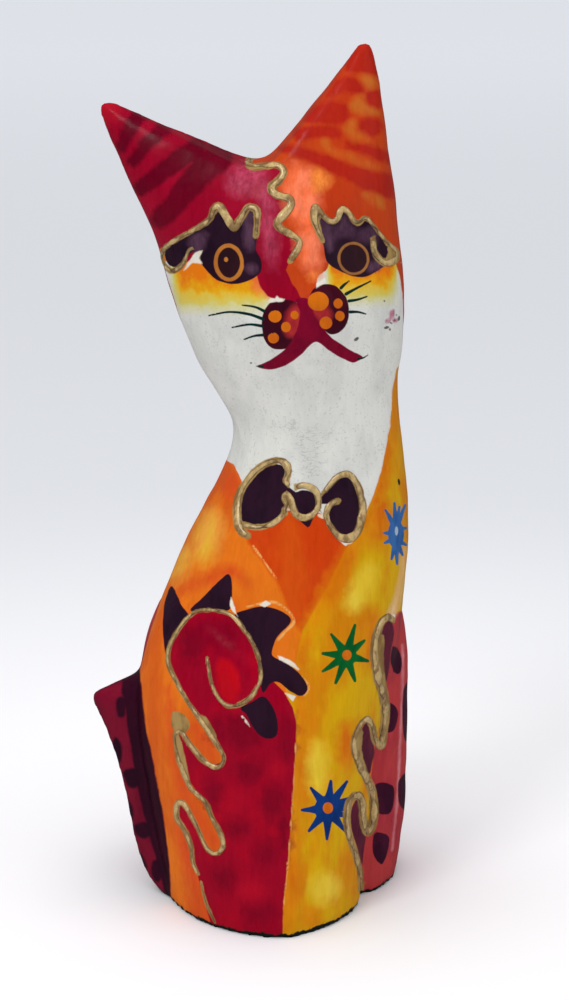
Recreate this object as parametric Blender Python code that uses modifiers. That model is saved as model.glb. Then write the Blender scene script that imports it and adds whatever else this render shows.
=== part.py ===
# Seated wooden cat figurine, carved from one block: a slim body on a flat sole, a head that
# leans to one side on a long neck, two pointed ears, broad haunches and a tail whose tip flares out.
# The cat looks along -Y, +X is to the viewer's right, +Z is up. Lengths are in metres.

import math
from collections import namedtuple

import bmesh
import bpy
import numpy as np
from mathutils import Matrix, Vector

# Driving sizes. The figure's form is drawn at DRAWN_HEIGHT and scaled with FIGURE_HEIGHT.
FIGURE_HEIGHT = 0.200
DRAWN_HEIGHT = 0.1994
SCALE = FIGURE_HEIGHT / DRAWN_HEIGHT
MM = 0.001 * SCALE

# The head's axis leans to the viewer's left. It passes through this point between the ear tips.
HEAD_LEAN = math.radians(13.0)
EAR_LINE_X = -11.6
EAR_LINE_Z = 192.0

# The notch between the ears, in the head's own axes, with its bottom rounded.
NOTCH_LEFT = -26.6
NOTCH_RIGHT = 28.6
NOTCH_MIDDLE = 2.0
NOTCH_DEPTH = 22.5
NOTCH_ROUNDING = 5.0

# Surface relief that the carver leaves standing or cuts away.
SOCKET_DEPTH = 1.7
NOSE_HEIGHT = 3.0
MUZZLE_HEIGHT = 3.0
PAD_HEIGHT = 1.1
THIGH_STEP = 1.3
BIB_DEPTH = 0.7
GROOVE_DEPTH = 1.6
GROOVE_HALF_WIDTH = 4.0

# How the block is worked: the grain of the first surface, how far it is sanded, and the last facets.
VOXEL = 0.85 * MM
SANDING_PASSES = 5
FACET_COUNT = 8200
BELOW_FLOOR = 6.0
ROWS_PER_LOFT = 90
POINTS_PER_RING = 72

WOOD_COLOUR = (0.78, 0.33, 0.10, 1.0)
WOOD_ROUGHNESS = 0.38

# One horizontal slice of a carved form, in millimetres of the drawing. The slice is centred on
# (x, z) and leans by `lean` degrees. `left` and `right` are its half widths, `front` and `back` the
# Y of its faces, `ridge` is where the front face stands furthest out, and `waist` the Y of its
# widest line. `square` is 2 for an ellipse and more for a boxier slice.
Slice = namedtuple("Slice", "z x lean left right front back ridge waist square")

COLUMN = [
    Slice(0.0, 0.0, 0.0, 27.2, 19.6, -30.0, 18.0, 0.0, 1.0, 1.88),
    Slice(12.0, 0.0, 0.0, 29.3, 20.3, -30.0, 18.0, 0.0, 1.0, 1.94),
    Slice(25.0, 0.0, 0.0, 31.5, 21.5, -29.5, 19.0, 0.0, 1.0, 2.0),
    Slice(40.0, 0.0, 0.0, 33.6, 23.0, -29.0, 21.0, 0.0, 2.0, 2.1),
    Slice(52.0, 0.0, 0.0, 34.0, 25.0, -28.3, 26.0, 0.5, 2.5, 2.1),
    Slice(62.0, 0.0, 0.0, 31.6, 26.8, -27.5, 28.0, 1.0, 3.0, 2.1),
    Slice(72.0, 0.0, 0.0, 28.2, 27.8, -26.5, 26.2, 1.5, 3.0, 2.1),
    Slice(85.0, 1.0, 0.5, 24.0, 27.6, -24.5, 21.6, 1.5, 2.5, 2.1),
    Slice(95.0, 3.0, 2.0, 21.3, 25.4, -22.5, 18.5, 1.0, 1.5, 2.1),
    Slice(104.0, 5.2, 5.5, 19.5, 22.3, -20.0, 16.5, 0.5, 0.5, 2.1),
    Slice(112.0, 6.4, 9.5, 18.4, 20.0, -18.3, 15.5, 0.5, 0.0, 2.1),
]

# The head's slices are given by their distance below the line between the ear tips.
HeadSlice = namedtuple("HeadSlice", "below left right front back ridge waist square")

HEAD = [
    HeadSlice(75.0, 17.7, 21.0, -18.0, 16.0, 1.5, 0.0, 2.1),
    HeadSlice(70.0, 19.2, 23.0, -18.8, 16.8, 2.5, 0.0, 2.1),
    HeadSlice(62.0, 21.8, 25.4, -20.3, 18.0, 3.5, 0.0, 2.15),
    HeadSlice(54.0, 23.5, 27.1, -21.4, 18.8, 4.0, 0.0, 2.2),
    HeadSlice(44.0, 24.4, 28.3, -21.6, 18.8, 4.0, 0.0, 2.3),
    HeadSlice(34.0, 24.6, 29.3, -20.3, 17.0, 3.5, -1.0, 2.5),
    HeadSlice(25.0, 25.8, 30.0, -18.0, 13.0, 3.0, -3.2, 2.9),
    HeadSlice(17.0, 27.3, 30.6, -15.0, 7.5, 2.0, -4.6, 3.3),
    HeadSlice(8.0, 29.0, 31.2, -11.5, 2.0, 1.0, -5.0, 3.6),
    HeadSlice(-0.7, 30.4, 31.6, -8.0, -2.5, 0.5, -5.2, 3.6),
]

HAUNCHES = [
    Slice(0.0, -2.0, 0.0, 27.5, 29.3, -14.0, 32.5, 0.0, 12.0, 2.1),
    Slice(15.0, -2.0, 0.0, 31.0, 31.0, -14.0, 33.5, 0.0, 12.0, 2.1),
    Slice(30.0, -2.0, 0.0, 32.0, 31.5, -14.0, 34.0, 0.0, 12.5, 2.1),
    Slice(43.0, -2.0, 0.0, 32.6, 31.5, -14.0, 34.0, 0.0, 13.0, 2.1),
    Slice(53.0, -2.0, 0.0, 32.0, 31.6, -13.0, 32.8, 0.0, 13.0, 2.1),
    Slice(62.0, -2.0, 0.0, 29.8, 30.6, -12.0, 30.8, 0.0, 12.5, 2.1),
    Slice(70.0, -1.5, 0.0, 26.8, 28.0, -10.0, 27.8, 0.0, 11.0, 2.1),
    Slice(78.0, -0.5, 0.0, 22.0, 22.5, -7.0, 24.0, 0.0, 9.5, 2.1),
    Slice(86.0, 1.0, 0.0, 15.0, 14.0, -3.0, 19.5, 0.0, 8.0, 2.1),
]

# The tail comes round from the back, hugs the right haunch and leans outwards as it rises. Each
# corner of its plan has a place on the sole, a place on the lip and a height there. They run from
# the crease beside the flank over the ridge and the tip, then round the back to the tail's root,
# and end buried in the haunch.
TailCorner = namedtuple("TailCorner", "sole lip height")

TAIL = [
    TailCorner((-24.0, -6.0), (-29.5, -2.0), 49.5),
    TailCorner((-26.5, -6.2), (-38.6, -1.0), 47.6),
    TailCorner((-28.4, -3.0), (-45.2, 4.0), 47.2),
    TailCorner((-29.4, 6.0), (-42.8, 13.0), 44.5),
    TailCorner((-29.0, 18.0), (-38.0, 23.0), 39.0),
    TailCorner((-22.0, 29.0), (-27.5, 32.0), 31.0),
    TailCorner((-9.0, 34.2), (-11.0, 36.8), 23.0),
    TailCorner((3.0, 34.2), (2.0, 35.8), 16.5),
    TailCorner((15.0, 28.4), (14.0, 29.0), 11.0),
    TailCorner((3.0, 20.0), (-2.0, 20.0), 22.0),
    TailCorner((-12.0, 8.0), (-16.0, 10.0), 44.0),
]
TAIL_SHOULDER = 7.0
TAIL_SHOULDER_INSET = 0.45
TAIL_HEART = np.array([-5.0, 14.0])
GROOVE_PATH = [(19.0, -7.5, -6.0), (21.0, -6.5, 34.0), (23.8, -5.0, 62.0), (26.5, -1.0, 74.0)]
TAIL_FLARE = [(0.0, 0.0), (0.1, 0.22), (0.25, 0.36), (0.5, 0.5), (0.75, 0.68), (0.9, 0.86), (1.0, 1.0)]


def smooth_rows(rows, count):
    """Rows of numbers, each starting with its place along the form, read evenly off one smooth curve."""
    table = np.array(rows, float)
    places = table[:, 0]
    slopes = np.gradient(table, places, axis=0)
    wanted = np.linspace(places[0], places[-1], count)
    below = np.clip(np.searchsorted(places, wanted, side="right") - 1, 0, len(places) - 2)
    span = (places[below + 1] - places[below])[:, None]
    t = (wanted - places[below])[:, None] / span
    return (
        (1 + 2 * t) * (1 - t) ** 2 * table[below]
        + t * (1 - t) ** 2 * span * slopes[below]
        + t**2 * (3 - 2 * t) * table[below + 1]
        + t**2 * (t - 1) * span * slopes[below + 1]
    )


def signed_power(value, power):
    return np.sign(value) * np.abs(value) ** power


def ring(row):
    """The points round one slice, as a superellipse whose four quarters have their own half axes."""
    z, x, lean, left, right, front, back, ridge, waist, square = row
    turn = np.linspace(0, 2 * math.pi, POINTS_PER_RING, endpoint=False)
    across = signed_power(np.cos(turn), 2 / square)
    along = signed_power(np.sin(turn), 2 / square)
    sideways = ridge + np.where(across > 0, (right - ridge) * across, (left + ridge) * across)
    deep = waist + np.where(along > 0, (back - waist) * along, (waist - front) * along)
    tilt = math.radians(lean)
    return np.stack([x + sideways * math.cos(tilt), deep, z + sideways * math.sin(tilt)], axis=1) * MM


def head_point(across, up):
    """A point given in the head's own axes, counted from between the ear tips."""
    x = EAR_LINE_X + across * math.cos(HEAD_LEAN) - up * math.sin(HEAD_LEAN)
    z = EAR_LINE_Z + across * math.sin(HEAD_LEAN) + up * math.cos(HEAD_LEAN)
    return x, z


def in_head_axes(x, z):
    """The reverse of head_point, for arrays of x and z."""
    dx, dz = x - EAR_LINE_X, z - EAR_LINE_Z
    across = dx * math.cos(HEAD_LEAN) + dz * math.sin(HEAD_LEAN)
    return across, dz * math.cos(HEAD_LEAN) - dx * math.sin(HEAD_LEAN)


def head_slice(row):
    x, z = head_point(0.0, -row.below)
    return Slice(z, x, math.degrees(HEAD_LEAN), *row[1:])


def loft(name, rings):
    """A closed skin over a stack of rings of points, with both ends capped."""
    mesh = bmesh.new()
    stack = [[mesh.verts.new(point) for point in points] for points in rings]
    for lower, upper in zip(stack, stack[1:]):
        for i in range(len(lower)):
            j = (i + 1) % len(lower)
            mesh.faces.new((lower[i], lower[j], upper[j], upper[i]))
    mesh.faces.new(list(reversed(stack[0])))
    mesh.faces.new(stack[-1])
    bmesh.ops.recalc_face_normals(mesh, faces=mesh.faces)
    data = bpy.data.meshes.new(name)
    mesh.to_mesh(data)
    mesh.free()
    return bpy.data.objects.new(name, data)


def below_floor(rows):
    """The rows with the lowest one repeated under the floor, where the sole is sawn off later."""
    return [rows[0]._replace(z=-BELOW_FLOOR)] + rows


def body_block():
    """Body, neck and head as one column, with the ears still joined across the top."""
    rows = below_floor(COLUMN) + [head_slice(row) for row in HEAD]
    return loft("body_block", [ring(row) for row in smooth_rows(rows, 2 * ROWS_PER_LOFT)])


def haunch_block():
    """The rounded rump, which stands out behind the front legs on both sides."""
    rows = smooth_rows(below_floor(HAUNCHES), ROWS_PER_LOFT)
    return loft("haunch_block", [ring(row) for row in rows])


def round_corners(points, per_side=8):
    """A closed smooth curve through the corners of a plan."""
    corners = np.array(points, float)
    before, after, beyond = (np.roll(corners, shift, axis=0) for shift in (1, -1, -2))
    made = []
    for t in np.linspace(0, 1, per_side, endpoint=False):
        made.append(
            0.5
            * (
                2 * corners
                + (after - before) * t
                + (2 * before - 5 * corners + 4 * after - beyond) * t**2
                + (3 * corners - before - 3 * after + beyond) * t**3
            )
        )
    return np.stack(made, axis=1).reshape(-1, corners.shape[1])


def tail_block():
    """The tail, whose outer face leans out from the sole to the lip."""
    sole = np.array([corner.sole for corner in TAIL])
    lip = np.array([corner.lip for corner in TAIL])
    heights = np.array([corner.height for corner in TAIL])
    rings = [round_corners(np.column_stack([sole, np.full(len(TAIL), -BELOW_FLOOR)]))]
    for rise, flare in smooth_rows(TAIL_FLARE, ROWS_PER_LOFT // 2):
        plan = sole + (lip - sole) * flare
        rings.append(round_corners(np.column_stack([plan, heights * rise])))
    shoulder = lip + (TAIL_HEART - lip) * TAIL_SHOULDER_INSET
    rings.append(round_corners(np.column_stack([shoulder, heights + TAIL_SHOULDER])))
    return loft("tail_block", [points * MM for points in rings])


def notch_cutter():
    """The wedge that is sawn out between the ears, with a rounded bottom."""
    arms = np.array([NOTCH_LEFT, NOTCH_RIGHT])
    slopes = NOTCH_DEPTH / np.abs(arms - NOTCH_MIDDLE)
    outline = []
    for across in np.linspace(*arms, 41):
        off = across - NOTCH_MIDDLE
        slope = slopes[0] if off < 0 else slopes[1]
        rounding = NOTCH_ROUNDING * slope
        depth = math.hypot(off * slope, rounding * 0.45) - NOTCH_DEPTH
        outline.append((across, depth))
    outline += [(NOTCH_RIGHT, NOTCH_DEPTH), (NOTCH_LEFT, NOTCH_DEPTH)]
    reach = 40.0
    rings = []
    for deep in (-reach, reach):
        places = [head_point(*point) for point in outline]
        rings.append(np.array([(x, deep, z) for x, z in places]) * MM)
    return loft("notch_cutter", rings)


def mesh_of(obj):
    """The object's mesh with its modifiers applied, as a new mesh."""
    bpy.context.view_layer.update()
    graph = bpy.context.evaluated_depsgraph_get()
    return bpy.data.meshes.new_from_object(obj.evaluated_get(graph))


def settle(obj):
    """Applies the object's modifiers to it."""
    made = mesh_of(obj)
    obj.modifiers.clear()
    obj.data = made


def joined(blocks, name):
    """The blocks as one object, whose skins still pass through each other."""
    mesh = bmesh.new()
    for block in blocks:
        mesh.from_mesh(block.data)
        bpy.data.objects.remove(block)
    data = bpy.data.meshes.new(name)
    mesh.to_mesh(data)
    mesh.free()
    obj = bpy.data.objects.new(name, data)
    return obj


def bump(across, up, centre, radii):
    """1 at the centre, falling smoothly to 0 at the rim of an ellipse."""
    away = ((across - centre[0]) / radii[0]) ** 2 + ((up - centre[1]) / radii[1]) ** 2
    return np.clip(1 - away, 0, None) ** 2


def step(value, start, end):
    """0 before start, 1 after end, with a smooth slope between them."""
    t = np.clip((value - start) / (end - start), 0, 1)
    return t * t * (3 - 2 * t)


def nose_ridge(across, up):
    """A wedge from between the brows to the nose tip, growing taller and narrower on its way down."""
    along = np.clip((-22.0 - up) / 27.0, 0, 1)
    middle = 2.6 + 2.8 * along
    half_width = 10.0 - 3.0 * along
    height = NOSE_HEIGHT * (0.2 + 0.8 * along)
    wedge = np.clip(1 - np.abs(across - middle) / half_width, 0, 1)
    rounded = wedge * (1.5 - 0.5 * wedge)
    return height * rounded * step(up, -54.0, -48.5) * step(-up, 18.0, 27.0)


def face_relief(x, z):
    """Eye sockets, nose and muzzle, in millimetres out from the head's surface."""
    across, up = in_head_axes(x, z)
    sockets = bump(across, up, (-9.5, -39.0), (11.5, 10.0)) + bump(across, up, (17.5, -42.0), (11.5, 10.0))
    muzzle = bump(across, up, (4.6, -55.0), (14.5, 12.0))
    pads = bump(across, up, (0.2, -53.6), (6.6, 6.6)) + bump(across, up, (9.6, -51.4), (6.6, 6.6))
    return nose_ridge(across, up) + MUZZLE_HEIGHT * muzzle + PAD_HEIGHT * pads - SOCKET_DEPTH * sockets


def body_relief(x, z):
    """The right thigh standing proud of the chest, and the hollow that the chest ends in."""
    thigh_edge = 3.4 - 34.0 * (np.clip(z - 44.0, 0, None) / 34.0) ** 2.2
    thigh = step(thigh_edge - x, -0.9, 0.9) * step(-z, -78.0, -70.0)
    bib_half = np.clip((z - 67.0) * 0.42, 0, 12.0)
    bib = step(bib_half - np.abs(x - 4.0 - (z - 67.0) * 0.02), -1.0, 1.5) * step(-z, -104.0, -94.0)
    return THIGH_STEP * thigh - BIB_DEPTH * bib


def leg_groove(points):
    """The cut between the left foreleg and the haunch, in millimetres in from the surface."""
    cut = np.zeros(len(points))
    for start, end in zip(GROOVE_PATH, GROOVE_PATH[1:]):
        start, along = np.array(start), np.array(end) - np.array(start)
        t = np.clip((points - start) @ along / (along @ along), 0, 1)
        away = np.linalg.norm(points - start - t[:, None] * along, axis=1)
        cut = np.maximum(cut, step(-away, -GROOVE_HALF_WIDTH, 0.0))
    return GROOVE_DEPTH * cut * step(-points[:, 2], -73.0, -50.0)


def carve(obj):
    """Moves the skin of the front by the relief, along the direction it faces."""
    data = obj.data
    points = np.empty(len(data.vertices) * 3, np.float32)
    data.vertices.foreach_get("co", points)
    points = points.reshape(-1, 3).astype(float)
    normals = np.empty(len(data.vertices) * 3, np.float32)
    data.vertex_normals.foreach_get("vector", normals)
    normals = normals.reshape(-1, 3).astype(float)
    x, z = points[:, 0] / MM, points[:, 2] / MM
    facing = step(-normals[:, 1], 0.05, 0.35)
    on_head = step(z, 108.0, 118.0)
    relief = (face_relief(x, z) * on_head + body_relief(x, z) * (1 - on_head)) * facing
    relief -= leg_groove(points / MM)
    points += normals * (relief * MM)[:, None]
    data.vertices.foreach_set("co", points.astype(np.float32).ravel())
    data.update()


def saw_sole(obj):
    """Cuts the figure off flat at the floor."""
    mesh = bmesh.new()
    mesh.from_mesh(obj.data)
    everything = mesh.verts[:] + mesh.edges[:] + mesh.faces[:]
    cut = bmesh.ops.bisect_plane(
        mesh, geom=everything, plane_co=(0, 0, 0), plane_no=(0, 0, 1), clear_inner=True, dist=1e-6
    )
    rim = [piece for piece in cut["geom_cut"] if isinstance(piece, bmesh.types.BMEdge)]
    bmesh.ops.contextual_create(mesh, geom=rim)
    bmesh.ops.triangulate(mesh, faces=mesh.faces[:])
    bmesh.ops.recalc_face_normals(mesh, faces=mesh.faces[:])
    mesh.to_mesh(obj.data)
    mesh.free()
    obj.data.update()


def centre_on_sole(obj):
    """Moves the figure so that the origin is below the middle of its outer box."""
    corners = [Vector(corner) for corner in obj.bound_box]
    middle = sum(corners, Vector()) / len(corners)
    obj.data.transform(Matrix.Translation((-middle.x, -middle.y, 0)))


def paint(obj):
    material = bpy.data.materials.new("painted_wood")
    material.use_nodes = True
    shader = material.node_tree.nodes["Principled BSDF"]
    shader.inputs["Base Color"].default_value = WOOD_COLOUR
    shader.inputs["Roughness"].default_value = WOOD_ROUGHNESS
    shader.inputs["Metallic"].default_value = 0.0
    obj.data.materials.clear()
    obj.data.materials.append(material)


def carved_cat(collection):
    """Blocks out the figure, sands the blocks into one skin, carves its relief and saws the sole."""
    block = body_block()
    notch = notch_cutter()
    for obj in (block, notch):
        collection.objects.link(obj)
    cut = block.modifiers.new("notch", "BOOLEAN")
    cut.operation = "DIFFERENCE"
    cut.solver = "EXACT"
    cut.object = notch
    settle(block)
    bpy.data.objects.remove(notch)

    cat = joined([block, haunch_block(), tail_block()], "cat")
    collection.objects.link(cat)
    skin = cat.modifiers.new("skin", "REMESH")
    skin.mode = "VOXEL"
    skin.voxel_size = VOXEL
    settle(cat)
    carve(cat)
    sanding = cat.modifiers.new("sanding", "SMOOTH")
    sanding.factor = 0.5
    sanding.iterations = SANDING_PASSES
    settle(cat)
    facets = cat.modifiers.new("facets", "DECIMATE")
    triangles = sum(len(face.vertices) - 2 for face in cat.data.polygons)
    facets.ratio = min(1.0, FACET_COUNT / triangles)
    facets.use_collapse_triangulate = True
    settle(cat)
    saw_sole(cat)
    centre_on_sole(cat)
    cat.data.shade_smooth()
    paint(cat)
    return cat


def main():
    for obj in list(bpy.data.objects):
        bpy.data.objects.remove(obj)
    collection = bpy.data.collections.new("wooden_cat")
    bpy.context.scene.collection.children.link(collection)
    carved_cat(collection)


main()
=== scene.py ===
import math

import bmesh
import bpy
import numpy as np
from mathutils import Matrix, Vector
from mathutils.bvhtree import BVHTree


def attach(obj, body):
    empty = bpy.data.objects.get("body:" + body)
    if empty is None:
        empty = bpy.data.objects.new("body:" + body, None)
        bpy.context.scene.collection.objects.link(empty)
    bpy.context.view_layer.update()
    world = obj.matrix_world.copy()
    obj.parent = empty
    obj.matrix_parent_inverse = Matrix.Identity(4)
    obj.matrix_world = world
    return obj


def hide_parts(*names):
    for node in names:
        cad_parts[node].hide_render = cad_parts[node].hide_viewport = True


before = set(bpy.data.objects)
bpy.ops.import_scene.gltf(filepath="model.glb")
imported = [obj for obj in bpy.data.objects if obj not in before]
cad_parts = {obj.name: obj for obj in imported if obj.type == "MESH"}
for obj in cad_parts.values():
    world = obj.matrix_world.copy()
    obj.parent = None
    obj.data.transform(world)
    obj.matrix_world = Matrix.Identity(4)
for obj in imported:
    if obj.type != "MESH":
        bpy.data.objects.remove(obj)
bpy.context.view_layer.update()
scene = bpy.context.scene


# The figure. One block of light, close-grained wood, sawn and carved to shape with a knife and
# sanded smooth. The knife has left shallow flats and hollows, which show as soft glints.
MM = 0.001
WELD = 0.001 * MM
SKIN_PITCH = 1.15 * MM
SANDING_PASSES = 5
KNIFE_MARK_SIZE = 9 * MM
KNIFE_MARK_DEPTH = 0.55 * MM
SOLE_TRIM = 0.25 * MM
FACES_DOWN = -0.7


def applied(obj):
    """The object's mesh with its modifiers applied, which are then taken off."""
    bpy.context.view_layer.update()
    evaluated = obj.evaluated_get(bpy.context.evaluated_depsgraph_get())
    made = bpy.data.meshes.new_from_object(evaluated)
    obj.modifiers.clear()
    obj.data = made
    return made


block = bmesh.new()
block.from_mesh(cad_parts["cat"].data)
bmesh.ops.remove_doubles(block, verts=block.verts, dist=WELD)
figure = bpy.data.objects.new("figure", bpy.data.meshes.new("figure"))
block.to_mesh(figure.data)
block.free()
scene.collection.objects.link(figure)

skin = figure.modifiers.new("skin", "REMESH")
skin.mode = "VOXEL"
skin.voxel_size = SKIN_PITCH
sanding = figure.modifiers.new("sanding", "SMOOTH")
sanding.factor = 0.5
sanding.iterations = SANDING_PASSES
knife = bpy.data.textures.new("knife_marks", "CLOUDS")
knife.noise_scale = KNIFE_MARK_SIZE
knife.noise_depth = 1
marks = figure.modifiers.new("knife_marks", "DISPLACE")
marks.texture = knife
marks.texture_coords = "LOCAL"
marks.strength = KNIFE_MARK_DEPTH
marks.mid_level = 0.5
for vertex in applied(figure).vertices:
    if vertex.co.z < SOLE_TRIM or (vertex.co.z < 2 * SOLE_TRIM and vertex.normal.z < FACES_DOWN):
        vertex.co.z = 0.0


# The drawing. Everything on the front is painted by eye from one seat, so it is given here as it is
# seen from there: on an upright sheet, 569 wide and 1000 high, with y counted down. A point on the
# sheet lands on the wood where the line from the eye through it meets the wood. Lines and outlines
# are written out as their points, x,y for x,y.
EYE = np.array([0.0081, -0.5645, 0.2357])
LOOKS_AT = np.array([0.0081, -0.0028, 0.0953])
SHEET_WIDTH, SHEET_HEIGHT = 569, 1000
SHEET_DISTANCE = 2510.0
SHEET_PER_MM = 4.35
FAR = -40.0
REACH = 30.0
TINY = 1e-9
CENTRE_GUARD = 1e-6

forward = (LOOKS_AT - EYE) / np.linalg.norm(LOOKS_AT - EYE)
right = np.array([1.0, 0.0, 0.0])
up = np.cross(right, forward)


def on_sheet(places):
    """Where places in the row frame are seen on the sheet."""
    away = places - EYE
    depth = away @ forward
    x = SHEET_WIDTH / 2 + SHEET_DISTANCE * (away @ right) / depth
    y = SHEET_HEIGHT / 2 - SHEET_DISTANCE * (away @ up) / depth
    return np.stack([x, y], axis=1)


def sight_line(x, y):
    """The direction from the eye through a point on the sheet."""
    across = (x - SHEET_WIDTH / 2) / SHEET_DISTANCE
    down = (y - SHEET_HEIGHT / 2) / SHEET_DISTANCE
    line = forward + right * across - up * down
    return line / np.linalg.norm(line)


def points_of(line):
    """The points of a line, which is a list of them or is written out."""
    return np.array([pair.split(",") for pair in line.split()] if isinstance(line, str) else line, float)


def rounded(points, closed=True, steps=5):
    """A smooth curve through the points."""
    last = points[-1]
    if closed:
        before, after, beyond = (np.roll(points, shift, axis=0) for shift in (1, -1, -2))
    else:
        ends = np.vstack([2 * points[0] - points[1], points, 2 * points[-1] - points[-2]])
        before, points, after, beyond = ends[:-3], ends[1:-2], ends[2:-1], ends[3:]
    curve = []
    for t in np.linspace(0, 1, steps, endpoint=False):
        slope = (after - before) * t
        bend = (2 * before - 5 * points + 4 * after - beyond) * t**2
        twist = (3 * points - before - 3 * after + beyond) * t**3
        curve.append(0.5 * (2 * points + slope + bend + twist))
    curve = np.stack(curve, axis=1).reshape(-1, points.shape[1])
    return curve if closed else np.vstack([curve, last])


def off_segments(sheet, starts, ends):
    """Each point's distance from each segment, and how far along the segment its foot lies."""
    along = ends - starts
    offset = sheet[:, None] - starts[None]
    share = np.clip((offset * along).sum(-1) / ((along * along).sum(-1) + TINY), 0, 1)
    return np.linalg.norm(offset - share[..., None] * along, axis=2), share


def near(sheet, points):
    """Which places lie within reach of the points' own box."""
    low, high = np.min(points, axis=0) - REACH, np.max(points, axis=0) + REACH
    return ((sheet > low) & (sheet < high)).all(axis=1)


def area(corners, soft=True):
    """A filled shape: how far inside its outline each point is, in sheet units."""
    outline = rounded(points_of(corners)) if soft else points_of(corners)

    def field(sheet):
        out = np.full(len(sheet), FAR)
        close = near(sheet, outline)
        spots = sheet[close]
        ends = np.roll(outline, -1, axis=0)
        away = off_segments(spots, outline, ends)[0].min(axis=1)
        low, high = outline[None, :, 1] > spots[:, None, 1], ends[None, :, 1] > spots[:, None, 1]
        run = (ends - outline)[None]
        rise = np.where(run[..., 1] == 0, TINY, run[..., 1])
        cross = outline[None, :, 0] + (spots[:, None, 1] - outline[None, :, 1]) * run[..., 0] / rise
        inside = ((low != high) & (spots[:, None, 0] < cross)).sum(axis=1) % 2 == 1
        out[close] = np.where(inside, away, -away)
        return out

    return field


def stroke(line, start=2.0, end=None, soft=True, widths=None):
    """One pull of the brush, with its width at the start and at the end, or widths in between."""
    widths = widths or (start, start if end is None else end)
    points = points_of(line)
    if soft and len(points) > 2:
        points = rounded(points, closed=False)

    def field(sheet):
        out = np.full(len(sheet), FAR)
        close = near(sheet, points)
        away, share = off_segments(sheet[close], points[:-1], points[1:])
        steps = np.arange(len(points) - 1)[None]
        width = np.interp((steps + share) / (len(points) - 1), np.linspace(0, 1, len(widths)), widths)
        out[close] = (width / 2 - away).max(axis=1)
        return out

    return field


def oval(x, y, wide, high, turn=0.0):
    """A dab or a filled oval, given by its centre and half axes, turned clockwise by degrees."""
    c, s = math.cos(math.radians(turn)), math.sin(math.radians(turn))

    def field(sheet):
        off = sheet - np.array([x, y])
        across, down = off[:, 0] * c + off[:, 1] * s, off[:, 1] * c - off[:, 0] * s
        reach = np.sqrt((across / wide) ** 2 + (down / high) ** 2) + CENTRE_GUARD
        slope = np.sqrt((across / wide**2) ** 2 + (down / high**2) ** 2) / reach + CENTRE_GUARD
        return np.maximum((1 - reach) / slope, FAR)

    return field


def ring(x, y, wide, high, thick, turn=0.0):
    """An oval line, given by its outer half axes and how thick it is."""
    outer = oval(x, y, wide, high, turn)
    inner = oval(x, y, wide - thick, high - thick, turn)
    return lambda sheet: np.minimum(outer(sheet), -inner(sheet))


coats = {}


def lay(coat, *shapes):
    """Adds shapes to what one pot of paint is used for."""
    coats.setdefault(coat, []).extend(shapes)


# The head. The white ground is left bare on the face and throat. A hood of crimson on one side and
# of orange on the other comes down the nose, and orange fades through yellow below the eyes.
lay("white", area("""60,262 163,262 262,250 300,270 400,250 440,240 450,345 404,358 396,370 392,392 390,426
    381,472 373,496 366,512 358,530 346,546 338,540 327,518 320,513 300,511 270,510 244,508 241,489 242,481
    234,465 222,457 180,440 100,420""", soft=False))
lay("crimson", area("""60,60 120,60 262,135 262,155 249,160 249,166 270,165 283,171 284,178 273,187 275,194
    290,200 291,206 279,220 278,226 298,240 299,246 290,261 296,268 304,283 306,296 303,302 290,304 279,301
    268,296 260,287 256,272 256,258 215,262 176,262 164,250 157,247 120,240 60,230""", soft=False))
lay("orange_hood",
    area("""262,135 262,155 249,160 249,166 270,165 283,171 284,178 273,187 275,194 290,200 291,206 279,220
    278,226 298,240 299,246 290,261 286,270 292,283 298,292 303,302 311,299 316,290 318,276 327,270 330,260
    360,262 400,262 460,255 460,20 340,20""", soft=False),
    area("394,256 401,263 412,268 412,312 403.6,312 402.4,294 399.6,276", soft=False))
lay("stripe",
    stroke("140,115 129,130 121,148", 17, 11), stroke("164,128 148,143 133,161", 15, 13),
    stroke("197,148 170,166 142,188", 20, 17), stroke("218,156 196,178 178,200 161,219", 30, 20))
lay("band",
    area("352,38 375,38 380,60 382,75 364,73 346,69"), area("336,80 350,77 363,79 364,90 360,94 345,93 328,96"),
    oval(374, 100, 9, 11), area("312,108 330,101 345,104 349,112 345,122 330,124 304,122"),
    oval(371, 127, 12, 10), area("294,130 310,126 334,127 342,133 340,139 322,138 298,141"),
    stroke("349,144 366,149 388,158", 9, 12),
    area("""278,149 294,144 310,150 322,153 338,160 356,166 376,172 394,176 396,198 372,194 352,183 332,173
    312,163 296,157"""),
    oval(371, 127, 8, 7), oval(374, 100, 6, 8))
lay("tip", oval(109, 110, 11, 15))
lay("patch",
    area("357,76 366,75 376,79 378,86 370,89 362,84"),
    area("354,99 359,95 363,96 366,104 376,110 381,114 366,114 354,112 350,106"),
    area("344,127 352,120 356,124 357,131 366,135 368,141 356,142 347,137"),
    area("321,141 328,139 331,146 341,152 352,154 366,162 378,168 364,166 350,161 336,155 326,150"),
    area("364,194 372,192 382,198 384,208 376,206 368,201"))
lay("worn_gold", area("313,170 322,169 330,178 326,188 318,193 313,186"), oval(316, 276, 5, 4))
# Paler patches on the brow and down the nose: partly rubbed paint, partly painted highlight on the nose and brow
# facets that face the light.
lay("worn_red", oval(242, 180, 17, 15, -35), oval(268, 222, 8, 44, -6), oval(256, 176, 10, 8))
lay("worn_orange", oval(302, 196, 18, 32, -8), oval(309, 246, 13, 24, -5))

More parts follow.
